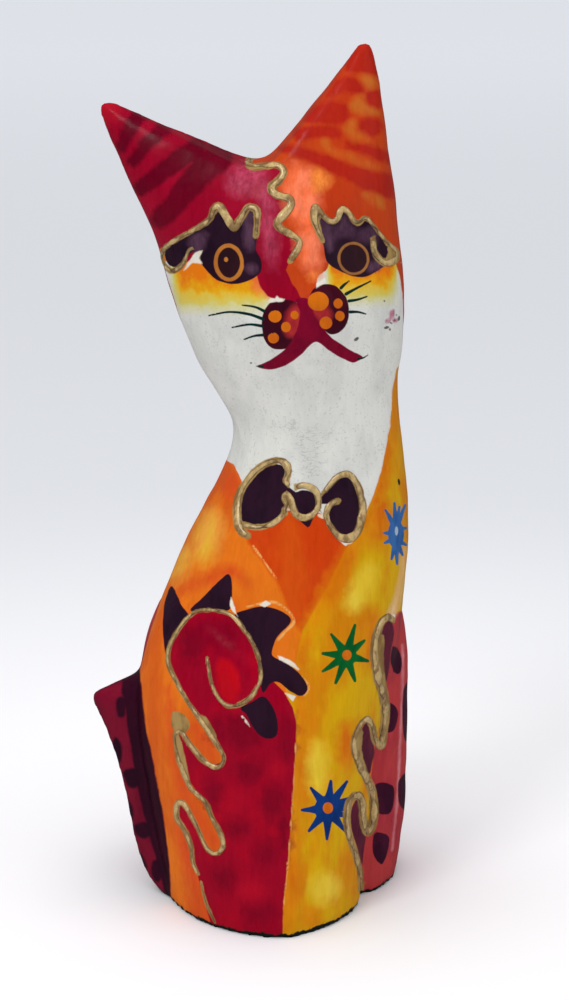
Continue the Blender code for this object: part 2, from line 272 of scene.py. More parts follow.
# The eyes. Each sits in a dark patch with a ragged upper edge. The iris is an ochre ring with a
# dab of ochre for the glint.
lay("plum",
    area("""165,257 165,250 174,242 186,234 199,227 209,220 213,211 218,206 226,216 234,230 241,219 246,209
    254,210 257,222 257,238 256,250 260,257 262,264 260,273 248,281 233,284 217,280 206,270 199,260 195,252
    190,254 184,263 176,267 169,265"""),
    area("""315,206 322,214 330,221 337,220 341.5,208 349,213 353,220 359,223 365.5,217 374,226 381,235 388,243
    395,251 392,261 383,267 374,273 364,277 352,276 340,271 329,264 325,256 323,243 318,230 314,218"""))
lay("ochre", ring(228.8, 262.5, 15, 19, 3.9, -4), oval(226, 259.5, 2.0, 2.4))
lay("ochre_faint", ring(353.5, 258.5, 15.8, 16.6, 2.5, -14))
# Painted sheen: lighter, streaked plum where the varnish on the dark eye patches catches the light, with a small
# grey dot in the right eye.
lay("plum_light",
    area("188,241 199,232 208,235 204,249 194,252"), area("243,218 250,212 255,222 255,247 247,252 243,234"),
    oval(252, 268, 6, 5),
    area("""320,213 326,222 336,226 344,215 352,225 360,230 371,226 378,240 366,244 350,238 338,240 330,252
    323,238"""),
    oval(375, 266, 8, 5, -30), oval(356, 257.5, 1.6, 2.0))
lay("iris", oval(228.8, 262.5, 12, 16, -4), oval(353.5, 259, 14, 15, 12))

# The muzzle. Two dark cheeks with ochre dots, the mouth between them, and a few hair-thin whiskers
# in dark green. Flecks of paint have dropped on the chin.
lay("cheek",
    area("""301,309 297,303 288,300 276,300 267,306 262.5,316 262,328 265,341 272,348 281,349.5 289,347 294,337
    299,322"""),
    area("""309,300 312,291 318,286 327,284 337,287 346,297 349,310 347,323 340,332 331,334.5 324,330 315,321
    310,311"""))
lay("cheek_glow", oval(294, 321, 9, 16, 15), oval(319, 309, 9, 15, -35))
lay("ochre_dot",
    oval(275, 316.5, 6.6, 6), oval(294.5, 315, 4, 4.4), oval(286, 327, 5, 5), oval(273.5, 338, 5.5, 5.3),
    oval(318.5, 301.5, 10.5, 9.5), oval(338, 303.5, 4.6, 5), oval(340, 316, 4.8, 5.2), oval(326, 323, 6.3, 6.2))
lay("mouth", area("""296,300 305,298 311,303 314,314 322,326 331,337 344,346 354,352 363,357 358,361 350,362
    331,352 321,344 315,342 308,347 301,355 286,365 271,369.5 257,366.5 270,360 284,350 292,340 298,326 300,312"""))
lay("green_black",
    stroke("264,311 255,307 242,305", 3.2, 1.6), stroke("263,319 248,314 229,312 209,315.5", 3.4, 1.6),
    stroke("262,326 249,324.5 232,327.5", 3.2, 1.6), stroke("263,335 254,336 244,339.5", 3.0, 1.5),
    stroke("341,288 345,284 349,281", 3.4, 1.8), stroke("346,294 357,288 371,281", 3.4, 1.6),
    stroke("349,301 358,299.5 367,296.5", 3.2, 1.6), stroke("350,312 358,312 366,314", 3.2, 1.6),
    stroke("358,359 363,358 368,355", 2.6, 1.0), stroke("263,366.5 256,366", 2.2, 1.0),
    oval(399, 482, 1.2, 3.4, -8))
lay("smudge", oval(392, 315, 2.4, 5.5, 15), oval(388, 321, 3.2, 2.4), oval(394.5, 320.5, 3, 2.4))
lay("fleck",
    oval(356.5, 339, 3.0, 1.7, -35), oval(251, 363, 1.4, 0.9), oval(399, 318.5, 1.3, 2.4, 10),
    oval(391, 323, 1.8, 1.1, 30), oval(386.5, 327.5, 2.6, 1.2, -10), oval(390, 329.5, 1.2, 1.5),
    oval(396.5, 315, 1.0, 1.0), oval(384.5, 301, 1.1, 1.4))
lay("flush", oval(261, 284, 7, 9, -20), oval(268, 292, 5, 4))
lay("cracked", area("296,432 322,426 328,452 322,486 304,486 296,460"), oval(284, 426, 18, 7))

# The body. Orange on the flank, a deeper orange bib on the chest, yellow down the other foreleg, a
# red thigh, a coral haunch and a dark tail. Drips of orange run down into the red of the thigh.
lay("bib", area("""238,500 249,545 262,561 276,580 286,604 294,622 302,634 312,615 327,588 338,569 344,552
    362,520 350,500""", soft=False))
lay("yellow", area("""404,340 396,370 392,392 390,426 381,472 373,496 366,513 354,536 344,552 327,588 312,615
    303,630 299,645 296,662 285,680 288,700 296,722 296,741 293,793 289,850 283,908 282,960 362,960 363,900
    361,878 357,863 352,847 348,831 347,815 350,802 357,794 362,800 363,814 367,830 372,828 373,790 366,778
    359,764 354,747 358,728 367,717 373,726 377,738 381,746 383,733 385,703 382,691 378,676 375,657 376,639
    381,624 389,618 398,612 470,600 470,340""", soft=False))
lay("red", area("""169,660 170,645 178,630 189,617 199,612 220,611 231,616 241,627 253,642 262,662 272,680
    284,692 293,708 296,722 296,741 293,793 289,850 283,908 282,960 225,960 212,928 205,903 199,880 193,862
    190,846 183,829 177,815 178,805 183,804 189,812 198,829 206,847 214,853 221,848 220,836 210,816 205,801
    198,794 188,779 182,760 178,742 176,731 182,732 190,743 200,757 212,766 222,762 221,752 211,737 204,722
    197,714 190,704 181,689 172,674""", soft=False))
lay("coral", area("""389,616 398,608 430,640 430,905 361,905 361,878 366,842 373,826 374,800 380,752 384,730
    385,703 379,668 380,634""", soft=False))
lay("bright_red", area("217,662 229,660 238,672 240,690 232,702 222,697 217,682"))
# Dark red blotches on the thigh, and two long dark strips down its right edge: painted shade where the thigh turns
# away.
lay("dark_red",
    area("180,632 196,620 222,618 238,634 232,650 210,648 196,664 180,652"),
    area("226,716 250,718 262,736 250,750 228,744"), oval(213, 792, 10, 15), oval(248, 772, 14, 12),
    oval(273, 802, 12, 18), oval(238, 828, 13, 11), oval(266, 852, 13, 14), oval(224, 878, 12, 11),
    oval(262, 912, 16, 9), oval(287, 738, 7, 24), oval(284, 832, 6, 22), oval(217, 728, 9, 12))
# Painted highlight: paler red down the middle of the thigh, where it bulges towards the light.
lay("lit_red", oval(238, 708, 9, 8), oval(236, 800, 9, 11), oval(252, 890, 14, 12), oval(278, 770, 9, 10))

# The motifs on the body: petals round the sunburst, a bow tie, three starry flowers, dark panes in
# the bends of the gold line, and spots on the haunch and the tail.
lay("plum",
    area("172,586 177,595 182,606 189,617 178,629 170,643 166,655 163.5,640 162.6,624 164.5,604 168,592"),
    area("228,574 231.5,580 232,595 229,610 210,611 190,611 200,600 212,588 221,579"),
    area("""234,616 247,609.5 259,606.5 271,607.5 284,612.5 291,619 288,626 280,633.5 274.5,642 272,652 274,657
    285,662 297,671 305,681 307.5,690 301,696 290,691 278,682 270,684 263,693 259,675 256,655 247,636"""),
    area("240,708 252,702 263,696 271,704 276.8,718 278,732 272.5,738.5 262,737 253,727.5 247,715"),
    area("""281,465 270,464 259,469 250,478 243,489 239,500 238,512 240,522 250,526 262,527 272,523 280,517
    285,510 288,503 298,495 289,487 284,479 285,471"""),
    area("""344,476 336,480 329,488 322,493 316,495 316,503 325,504 332,505 328,511 327,518 330,525 336,532
    343,537 351,536 357,530 361,520 362,508 360,496 356,485 350,477"""),
    oval(304, 504, 14, 14), area("297,518 314,516 309,529", soft=False))
lay("pane",
    area("391,621 383,626 379,643 379,660 382,677 386,690 388.5,672 391,650 394,634"),
    area("367,722 360,733 358,747 362,761 369,774 372,763 374.5,750 371,735"),
    area("358,799 352,807 350,818 352,832 357,847 362,865 365,851 366,838 362,818"))
# White ground showing in slivers, and painted highlights: white glints on the tops of the two cheeks and at the top
# end of the gold line on the haunch.
lay("bare",
    area("231,597 235,609 238,617 233,612 230,606", soft=False),
    area("258,605 266,601 271,604 265,607", soft=False),
    area("277,655 284,657 293,662 300,669 298,671 288,664 279,660", soft=False),
    area("285,693 296,696 293,702 289,698", soft=False), stroke("242,716 250,727", 0.9, 0.7),
    area("203,250 199,258 203,264 192,263 187,268 184,271 188,262 195,253", soft=False),
    area("267,302 270,299 275,298.5 277,295.5 280,298 285,299 283,302", soft=False),
    area("316,288 316,283 320,281 325,277 326,281 323,284 319,287", soft=False),
    stroke("386,619 393,616", 5, 4), stroke("345,543 351,542", 3, 3), stroke("319,515 323,517", 3, 3))
# Pale rims round two petals and down the edge of the red, and a painted highlight along the carved edge at the left
# of the bib.
lay("rim",
    stroke("247,607 262,603 277,603 290,613 294,622 286,631 278,640", 2.0, 2.6),
    stroke("253,546 264,561 276,578", 2.4, 1.4), stroke("302,676 309,687 304,696", 1.6, 2.2),
    stroke("296,742 293,793 289,850 284,905", 0.9, 1.2))
# Painted highlight: a pale glow high on the orange flank.
lay("sunny", oval(207, 536, 13, 26, 14), oval(180, 562, 8, 18, 32))
lay("amber",
    oval(310, 917, 9, 9),
    stroke("398,384 392,430 377,500 349,556 322,605 304,650 300,690 302,740 299,790 295,850 291,905", 15, 12),
    oval(378, 522, 12, 26, 15), oval(372, 640, 12, 30, 5), oval(346, 745, 9, 22), oval(354, 884, 5, 18))
# Pale patches in the yellow; the two lower ones are a painted highlight down the middle of the foreleg.
lay("pale_yellow", oval(362, 588, 11, 26, 25), oval(318, 768, 10, 26), oval(324, 888, 15, 15))
lay("ember",
    area("224,455 235,467 243,486 240,505 228,500 214,480"),
    stroke("184,590 205,580 230,572 246,582", widths=(3, 10, 11, 6)),
    stroke("168,690 174,735 184,785 184,835 196,885 204,925", widths=(4, 10, 12, 14, 20, 26)),
    stroke("196,728 213,756", 9, 12), stroke("190,806 213,842", 9, 12))
lay("peach", stroke("404,548 402,575 397,600 391,615", 3, 8))
# Painted highlight: a pale sheen line down the ridge of the haunch.
lay("ridge", stroke("403,645 402,700 400,750 397,800 392,850", 2.6, 2.0))


RAY_ROOT = 0.7


def star(x, y, wide, high, tips, root=5.0, point=2.4):
    """A round flower with one brush-drawn ray to each tip."""
    rays = []
    for tip_x, tip_y in points_of(tips):
        length = math.hypot(tip_x - x, tip_y - y)
        inner = (x + (tip_x - x) * wide * RAY_ROOT / length, y + (tip_y - y) * high * RAY_ROOT / length)
        rays.append(stroke([inner, (tip_x, tip_y)], root, point, soft=False))
    return [oval(x, y, wide, high)] + rays


GREEN_TIPS = "355,625 331,634 364.5,640.5 322.5,653.5 368,661 322.5,671.5 335.5,683.5 355,681"
BLUE_TIPS = "331,781 347,781.5 311,788 353,797 302,810 351,807 345,816 309,831 327,839 345,831 317,798"
SKY_TIPS = """385.5,510 394.3,503 399.5,507 405,505 384,533 384.5,543 391.5,559 397.2,564 402.5,555
    406,528 406,545"""
lay("green", *star(346.5, 655.5, 10.2, 10.6, GREEN_TIPS, root=9.0, point=2.8))
lay("blue", *star(328, 809, 13.4, 13.6, BLUE_TIPS, root=9.6, point=2.8))
lay("sky", *star(396, 534, 8.0, 14.5, SKY_TIPS, root=6.0))
lay("ochre_dot", oval(347, 655, 4.6, 5.0), oval(328, 808, 5.2, 5.6))
lay("pale_blue", oval(396.5, 531, 1.6, 4.5))
lay("spot",
    area("392,647 398,649 402,662 400,673 394,672 390.5,660"),
    area("386,704 393,704 398,712 396,726 391,732 384,731 382,718"),
    area("376,784 386,783 394,788 394,800 390,813 380,814 374,808 373,795"),
    area("374,834 382,833 389,837 388,850 383,863 378,862 373,852"),
    area("403.5,690 412,685 412,740 403.5,735"), area("398.5,782 408,774 408,808 399.5,804"))
lay("tail_spot",
    area("114,738 121,743 122,757 118,764 112,760"), area("120,795 128,798 133,812 130,826 122,826"),
    area("133,852 142,855 147,866 144,874 134,870"), area("123,772 135,768 142,776 136,788 127,785"),
    area("134,826 146,822 152,832 146,838 138,836"), area("152,862 160,860 164,872 158,882 152,876"),
    area("116,700 124,698 125,715 118,716"))
lay("tail_seen", area("""140,634 138,651 140,676 146,731 152,755 155,773 163,814 169,861 171,898 174,925 80,925
    80,680 128,668""", soft=False))
lay("tail_dark", area("""121,690 125,706 128,730 133,762 138,790 145,818 151,842 159,868 166,900 185,905 165,800
    150,700 142,640 128,640""", soft=False))


# Where each part of the body begins: measured on the wood itself, in millimetres from the middle
# of the chest at the foot, because the paint goes round to the back.
CHEST = np.array([8.06, -2.79, 0.0])
HEAD_LEAN = math.radians(13.0)
EARS_MIDDLE = (-11.6, 192.0)
HOOD_EDGE = -71.0
HOOD_SEAM = 2.0
CROWN_EDGE = -46.5
FACE_EDGE = 6.0
CHEEK_LEAN = 10.0
CHEEK_RISE = 25.0
SHOULDER = 112.0
SPINE = 3.0
RUMP_TOP = 77.0
HOOD_SWING, HOOD_BEAT = 2.4, 0.45
SPINE_SWING, SPINE_BEAT = 2.6, 0.36
RUMP_SWING, RUMP_BEAT = 1.9, 10
FACE_SWING, FACE_BEAT = 1.1, 0.35
RIGHT_CHEEK = 3.0
MIDDLE = 8.0
THIGH_OVERLAP = 5.0
SADDLE_SLANT = 14.0
SADDLE_EDGE = 30.0
HAUNCH_RADIUS = 31.0
GROOVE = points_of("0,-7.5 34,-6.5 62,-5 74,-1 90,8")
CREASE = points_of("0,-6 47,-2 52,1 80,5")
CREASE_WIDTH = 6.0
TAIL_MIDDLE = (-2.0, 12.0)
TAIL_TOP = points_of("""-60,46 -27,52 -19.6,53 -10.5,53 1.4,50 17,43 38,33.5 70,24.5 99.5,17.5 133,11.5
    145,-5 180,-5""")
FOOT_BAND = 1.1
DAB_SQUARENESS = 2.6
DAB_NUDGE = (1.4, 1.8)


def eased(value, start, end):
    """Rises softly from 0 to 1 between start and end."""
    t = np.clip((value - start) / (end - start), 0, 1)
    return t * t * (3 - 2 * t)


def graph(table, value):
    """Reads a value off a line through pairs."""
    return np.interp(value, table[:, 0], table[:, 1])


def within(*fields):
    """The part that lies inside all of the fields."""
    return np.minimum.reduce(fields)


def either(*fields):
    """The part that lies inside any of the fields."""
    return np.maximum.reduce(fields)


def hood_scallop(across):
    """How far the hood's lower edge swings up and down across the back of the neck."""
    return HOOD_SWING * np.sin(across * HOOD_BEAT)


def spine_wave(z):
    """How far the line down the back swings from side to side."""
    return SPINE_SWING * np.sin(z * SPINE_BEAT)


def rump_scallop(angle):
    """How far the top edge of the haunches swings up and down round the back."""
    return RUMP_SWING * np.sin(np.radians(angle) * RUMP_BEAT)


def dabs(angle, z, centres, wide, high, seed):
    """Uneven, squarish dabs of the brush round the body, at the angles and heights of their middles."""
    field = np.full(len(z), FAR)
    hand = np.random.default_rng(seed)
    for turn, level in centres:
        nudge, size = hand.uniform(-1, 1, 2), hand.uniform(0.8, 1.2, 2)
        sideways = np.abs(np.radians(angle - turn) * HAUNCH_RADIUS - nudge[0] * DAB_NUDGE[0]) / (wide * size[0])
        upright = np.abs(z - level - nudge[1] * DAB_NUDGE[1]) / (high * size[1])
        reach = (sideways**DAB_SQUARENESS + upright**DAB_SQUARENESS) ** (1 / DAB_SQUARENESS)
        field = np.maximum(field, (1 - reach) * wide)
    return field


HAUNCH_ROWS = ((13, 0), (36, 13), (59, 2))
HAUNCH_DABS = [(turn + shift, level) for level, shift in HAUNCH_ROWS for turn in range(22, 215, 26)]
TAIL_DABS = list(zip(range(-44, 130, 17), (36, 12, 40, 14, 38, 10, 30, 9, 20, 6, 10)))


def zones(places):
    """How far inside each part of the body the places are, in millimetres."""
    x, y, z = (places / MM - CHEST).T
    dx, dz = x - EARS_MIDDLE[0], z - EARS_MIDDLE[1]
    across = dx * math.cos(HEAD_LEAN) + dz * math.sin(HEAD_LEAN)
    height = dz * math.cos(HEAD_LEAN) - dx * math.sin(HEAD_LEAN)
    angle = np.degrees(np.arctan2(y - TAIL_MIDDLE[1], TAIL_MIDDLE[0] - x))
    angle = np.where(angle < -90, angle + 360, angle)
    rump_top = RUMP_TOP + rump_scallop(angle)
    behind_left, behind_right = y - graph(CREASE, z), y - graph(GROOVE, z)
    side = eased(x, -MIDDLE, MIDDLE)
    behind = behind_left * (1 - side) + behind_right * side
    tail = within(graph(TAIL_TOP, angle) - z, np.where(x < -10, behind_left, y - 14.0))
    rump = within(behind + THIGH_OVERLAP * side, rump_top - z, -tail)
    right_cheek = RIGHT_CHEEK * eased(x, 0.0, 14.0)
    face_edge = FACE_EDGE + FACE_SWING * np.sin(z * FACE_BEAT) - right_cheek
    rise = np.clip((height - CROWN_EDGE) / CHEEK_RISE + 1, 0, 1)
    cheek_edge = face_edge - rise * (CHEEK_LEAN + right_cheek)
    hood_edge = HOOD_EDGE + hood_scallop(across)
    return {
        "hood": within(height - hood_edge, either(y - cheek_edge, height - CROWN_EDGE)),
        "left": HOOD_SEAM - across,
        "below_crown": within(CROWN_EDGE - height, y - face_edge),
        "throat": face_edge - y,
        "front": -behind,
        "yellow_back": within((x - SPINE - spine_wave(z)) * 0.3, either(z - rump_top, -behind_right - 2.0)),
        "tail": tail,
        "crease": CREASE_WIDTH - behind_left,
        "rump": rump,
        "saddle": within(rump, (y - SADDLE_EDGE + SADDLE_SLANT * (1 - side)) * 0.4),
        "haunch_dabs": dabs(angle, z, HAUNCH_DABS, 3.3, 5.4, 3),
        "tail_dabs": dabs(angle, z, TAIL_DABS, 3.4, 5.0, 5),
        "foot": FOOT_BAND - z,
        "behind": y - 4.0,
    }


def drawn(coat, sheet):
    """How far inside any shape of one coat the points are, in millimetres."""
    return np.max([shape(sheet) for shape in coats[coat]], axis=0) / SHEET_PER_MM


SEEN_COATS = """stripe band tip patch worn_red worn_orange iris ochre ochre_faint cheek cheek_glow mouth
    smudge fleck flush cracked plum_light worn_gold ridge sky pale_blue""".split()
FRONT_COATS = """plum pane bare green blue ochre_dot red bright_red dark_red lit_red bib green_black rim
    pale_yellow sunny ember amber peach""".split()
RIM = 5.0
OUT_OF_SIGHT = 0.6
CORAL_OVERLAP = 8.0
SPOTS_START = 1.4
BLUSH_LEFT = (222.0, 318.0, 46.0, -56.0, -38.0)
BLUSH_RIGHT = (362.0, 309.0, 42.0, -40.0, -26.0)


def painted(places, normals):
    """Every coat's field over the places, in millimetres: inside is above zero."""
    sheet = on_sheet(places)
    zone = zones(places)
    to_eye = EYE - places
    facing = (normals * to_eye).sum(axis=1) / np.linalg.norm(to_eye, axis=1) * RIM
    hidden = OUT_OF_SIGHT - facing
    head = (places[:, 2] / MM - SHOULDER) * 2
    shapes = {coat: drawn(coat, sheet) for coat in coats}
    seen = {coat: within(shape, facing) for coat, shape in shapes.items()}
    on_front = either(zone["front"], head)
    fields = {coat: seen[coat] for coat in SEEN_COATS}
    fields |= {coat: within(seen[coat], on_front) for coat in FRONT_COATS}
    fields["white"] = within(shapes["white"], zone["throat"])
    turned = eased(zone["behind"], 0.0, 6.0)
    fields["yellow"] = shapes["yellow"] * (1 - turned) + zone["yellow_back"] * turned
    hood_behind = within(zone["hood"], either(hidden, -head, zone["below_crown"]))
    for coat, side in (("crimson", zone["left"]), ("orange_hood", -zone["left"])):
        fields[coat] = either(within(seen[coat], head), within(hood_behind, side))
    fields["coral"] = either(zone["rump"], within(seen["coral"], zone["front"] + CORAL_OVERLAP))
    fields["saddle"] = zone["saddle"]
    fields["tail"] = either(zone["tail"], seen["tail_seen"])
    for coat, round_back, limit in (
        ("tail_dark", within(zone["crease"], hidden), fields["tail"]),
        ("tail_spot", within(zone["tail_dabs"], hidden), fields["tail"]),
        ("spot", within(zone["haunch_dabs"], hidden - SPOTS_START), zone["rump"]),
    ):
        fields[coat] = within(either(seen[coat], round_back), limit)
    fields["foot"] = zone["foot"]
    warm = []
    for middle, top, fade, outer, inner in (BLUSH_LEFT, BLUSH_RIGHT):
        warm.append((top - sheet[:, 1]) / fade * eased(-np.abs(sheet[:, 0] - middle), outer, inner))
    fields["blush"] = np.clip(either(*warm), 0, 1) * (facing > 0) * (head > 0)
    return fields


# The skin is made finer along every edge of paint, so that the hair-thin lines stay crisp.
FIRST_BAND = 0.9
SECOND_BAND = 0.42
FINE_COATS = "fleck green_black green blue sky ochre ochre_faint ochre_dot pale_blue mouth bare".split()
SETTLING_PASSES = 4


def table_of(mesh):
    """The places and the normals of a mesh's points, as two tables."""
    places = np.empty(len(mesh.vertices) * 3, np.float32)
    mesh.vertices.foreach_get("co", places)
    normals = np.empty(len(mesh.vertices) * 3, np.float32)
    mesh.vertex_normals.foreach_get("vector", normals)
    return places.reshape(-1, 3).astype(float), normals.reshape(-1, 3).astype(float)


def keep_with(mesh, name, values):
    """Writes one number for each point into the mesh, for the paint to read."""
    kept = mesh.attributes.new(name, "FLOAT", "POINT")
    kept.data.foreach_set("value", np.asarray(values, np.float32))


def made_finer(mesh, chosen):
    """Halves the chosen part's edges, then lets the new points settle on a smooth surface."""
    work = bmesh.new()
    work.from_mesh(mesh)
    work.verts.ensure_lookup_table()
    edges = [edge for edge in work.edges if chosen[edge.verts[0].index] and chosen[edge.verts[1].index]]
    bmesh.ops.subdivide_edges(work, edges=edges, cuts=1, use_grid_fill=True)
    work.to_mesh(mesh)
    work.free()
    places, _ = table_of(mesh)
    free = np.ones(len(places), bool)
    free[: len(chosen)] = chosen
    pairs = np.empty(len(mesh.edges) * 2, np.int32)
    mesh.edges.foreach_get("vertices", pairs)
    first, second = pairs.reshape(-1, 2).T
    count = np.bincount(pairs, minlength=len(places))[:, None]
    for _ in range(SETTLING_PASSES):
        total = np.zeros_like(places)
        np.add.at(total, first, places[second])
        np.add.at(total, second, places[first])
        settled = 0.5 * places + 0.5 * total / np.maximum(count, 1)
        places[free] = settled[free]
    mesh.vertices.foreach_set("co", places.astype(np.float32).ravel())
    mesh.update()


skin_mesh = figure.data
fields = painted(*table_of(skin_mesh))
edge_of_paint = np.min([np.abs(field) for name, field in fields.items() if name != "blush"], axis=0)
made_finer(skin_mesh, edge_of_paint < FIRST_BAND)
fields = painted(*table_of(skin_mesh))
fine_edge = np.min([np.abs(fields[name]) for name in FINE_COATS], axis=0)
made_finer(skin_mesh, fine_edge < SECOND_BAND)
places, normals = table_of(skin_mesh)
for name, field in painted(places, normals).items():
    keep_with(skin_mesh, name, field)
skin_mesh.shade_smooth()
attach(figure, "root")
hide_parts("cat")


# The paint on the figure. Thick gloss colours over a white ground, laid with a small round brush
# in a few pulls, each coat over the one before it, then a clear varnish. Colours are given as they
# look in daylight, from 0 to 255.
NUMBER, COLOUR = "NodeSocketFloat", "NodeSocketColor"


def daylight(red, green, blue):
    """The shader's own numbers for a colour."""
    parts = [part / 255 for part in (red, green, blue)]
    return tuple(part / 12.92 if part < 0.04 else ((part + 0.055) / 1.055) ** 2.4 for part in parts) + (1.0,)


def put(tree, kind, inputs=(), **settings):
    """Adds a node. Its inputs are given by name or number, as a value or as another node's output."""
    node = tree.nodes.new(kind)
    for name, value in settings.items():
        setattr(node, name, value)
    for name, value in dict(inputs).items():
        if isinstance(value, bpy.types.NodeSocket):
            tree.links.new(value, node.inputs[name])
        else:
            node.inputs[name].default_value = value
    return node


def maths(tree, kind, *values, clamp=False):
    """One step of arithmetic on up to three numbers."""
    return put(tree, "ShaderNodeMath", enumerate(values), operation=kind, use_clamp=clamp).outputs[0]


def ranged(tree, value, low, high, start=0.0, end=1.0, kind="LINEAR"):
    """Carries a value from the range low to high over to start to end, and holds it there."""
    given = enumerate((value, low, high, start, end))
    return put(tree, "ShaderNodeMapRange", given, interpolation_type=kind).outputs[0]


def noise(tree, place, scale, detail, roughness=0.5):
    """Even, cloudy noise over the place, with so many clouds in a metre."""
    given = {"Vector": place, "Scale": scale, "Detail": detail, "Roughness": roughness}
    return put(tree, "ShaderNodeTexNoise", given).outputs[0]


def pulled(tree, place, upright, turn=0.0):
    """The place, turned and pressed together upwards, which draws a pattern out along the brush."""
    given = {"Vector": place, "Rotation": (0.0, turn, 0.0), "Scale": (1.0, 1.0, upright)}
    return put(tree, "ShaderNodeMapping", given).outputs[0]


def field_of(tree, name):
    """A field that the mesh carries."""
    return put(tree, "ShaderNodeAttribute", attribute_name=name).outputs["Fac"]


def blended(tree, share, under, over):
    """One colour over another, by a share from 0 to 1."""
    return put(tree, "ShaderNodeMix", {0: share, 6: under, 7: over}, data_type="RGBA").outputs[2]


def sockets(tree, inputs, outputs=()):
    """Gives a group its named inputs, with their defaults, and its outputs."""
    for name, kind, default in inputs:
        made = tree.interface.new_socket(name, in_out="INPUT", socket_type=kind)
        made.default_value = default
    for name, kind in outputs:
        tree.interface.new_socket(name, in_out="OUTPUT", socket_type=kind)


def material_of(name):
    """A new material with nothing in it."""
    made = bpy.data.materials.new(name)
    made.use_nodes = True
    made.node_tree.nodes.clear()
    return made


def finished(tree, colour, dullness, relief, strength, depth, varnish):
    """Closes a material: its colour, how dull it is, its fine relief and its varnish."""
    bump = put(tree, "ShaderNodeBump", {"Strength": strength, "Distance": depth, "Height": relief})
    look = {"Base Color": colour, "Roughness": dullness, "Normal": bump.outputs[0]} | varnish
    surface = put(tree, "ShaderNodeBsdfPrincipled", look)
    put(tree, "ShaderNodeOutputMaterial", {"Surface": surface.outputs[0]})


edge_group = bpy.data.node_groups.new("Edge of a coat", "ShaderNodeTree")
fuzzy = [("Field", NUMBER, 0.0), ("Wander", NUMBER, 0.0), ("Wobble", NUMBER, 0.3), ("Softness", NUMBER, 0.2)]
sockets(edge_group, fuzzy, [("Mask", NUMBER)])
given = put(edge_group, "NodeGroupInput").outputs
shifted = maths(edge_group, "MULTIPLY_ADD", given["Wander"], given["Wobble"], given["Field"])
scaled = maths(edge_group, "DIVIDE", shifted, given["Softness"])
put(edge_group, "NodeGroupOutput", {"Mask": maths(edge_group, "ADD", scaled, 0.5, clamp=True)})

brush_group = bpy.data.node_groups.new("Brushed colour", "ShaderNodeTree")
streaky = [
    ("Main", COLOUR, (0.5, 0.5, 0.5, 1.0)),
    ("Other", COLOUR, (0.4, 0.4, 0.4, 1.0)),
    ("Patchiness", NUMBER, 0.5),
    ("Patches per metre", NUMBER, 120.0),
    ("Seed", NUMBER, 0.0),
    ("Streaks", NUMBER, 0.5),
    ("Streak depth", NUMBER, 0.3),
]
sockets(brush_group, streaky, [("Colour", COLOUR)])
given = put(brush_group, "NodeGroupInput").outputs
place = pulled(brush_group, put(brush_group, "ShaderNodeTexCoord").outputs["Object"], 0.55)
clouds = {"Vector": place, "W": given["Seed"], "Scale": given["Patches per metre"]}
clouds |= {"Detail": 3.0, "Roughness": 0.6}
cloud = put(brush_group, "ShaderNodeTexNoise", clouds, noise_dimensions="4D").outputs[0]
spread = ranged(brush_group, cloud, 0.42, 0.62, kind="SMOOTHSTEP")
share = maths(brush_group, "MULTIPLY", spread, given["Patchiness"])
patched = blended(brush_group, share, given["Main"], given["Other"])
lift = maths(brush_group, "ADD", given["Streaks"], -0.5)
lift = maths(brush_group, "MULTIPLY_ADD", lift, given["Streak depth"], 1.0)
lit = put(brush_group, "ShaderNodeHueSaturation", {"Color": patched, "Value": lift})
put(brush_group, "NodeGroupOutput", {"Colour": lit.outputs[0]})

paint = material_of("painted_wood")
tree = paint.node_tree
place = put(tree, "ShaderNodeTexCoord").outputs["Object"]
wander = maths(tree, "ADD", noise(tree, place, 420.0, 2.0, 0.6), -0.5)
bristle = noise(tree, pulled(tree, place, 0.16), 900.0, 3.0, 0.65)
scratches = noise(tree, pulled(tree, place, 0.22, turn=0.7), 700.0, 4.0, 0.8)
scratches = ranged(tree, scratches, 0.35, 0.7)


def brushed(main, other, patchiness, patches, seed, streaks, pull=bristle):
    """A colour that wanders towards another in patches, and is streaked by the bristles."""
    given = {"Main": daylight(*main), "Other": daylight(*other), "Patchiness": patchiness, "Seed": seed}
    given |= {"Patches per metre": patches, "Streaks": pull, "Streak depth": streaks}
    return put(tree, "ShaderNodeGroup", given, node_tree=brush_group).outputs["Colour"]


def coat(colour, field, main, other, pull, patchiness, patches, seed, wobble=0.35, softness=0.22, streaks=0.3):
    """Lays one coat of paint over the colour so far, inside its field."""
    given = {"Field": field_of(tree, field), "Wander": wander, "Wobble": wobble, "Softness": softness}
    mask = put(tree, "ShaderNodeGroup", given, node_tree=edge_group)
    over = brushed(main, other, patchiness, patches, seed, streaks, pull)
    return blended(tree, mask.outputs["Mask"], colour, over)


def painted_over(colour, pots):
    """Lays a table of coats, one to a row, in the order in which they are painted."""
    for row in pots.strip().splitlines():
        field, main, other, *numbers = row.split()
        main, other = ([int(part) for part in tint.split(",")] for tint in (main, other))
        pull = scratches if numbers[-1] == "scratched" else bristle
        numbers = [float(number) for number in numbers if number != "scratched"]
        colour = coat(colour, field, main, other, pull, *numbers)
    return colour


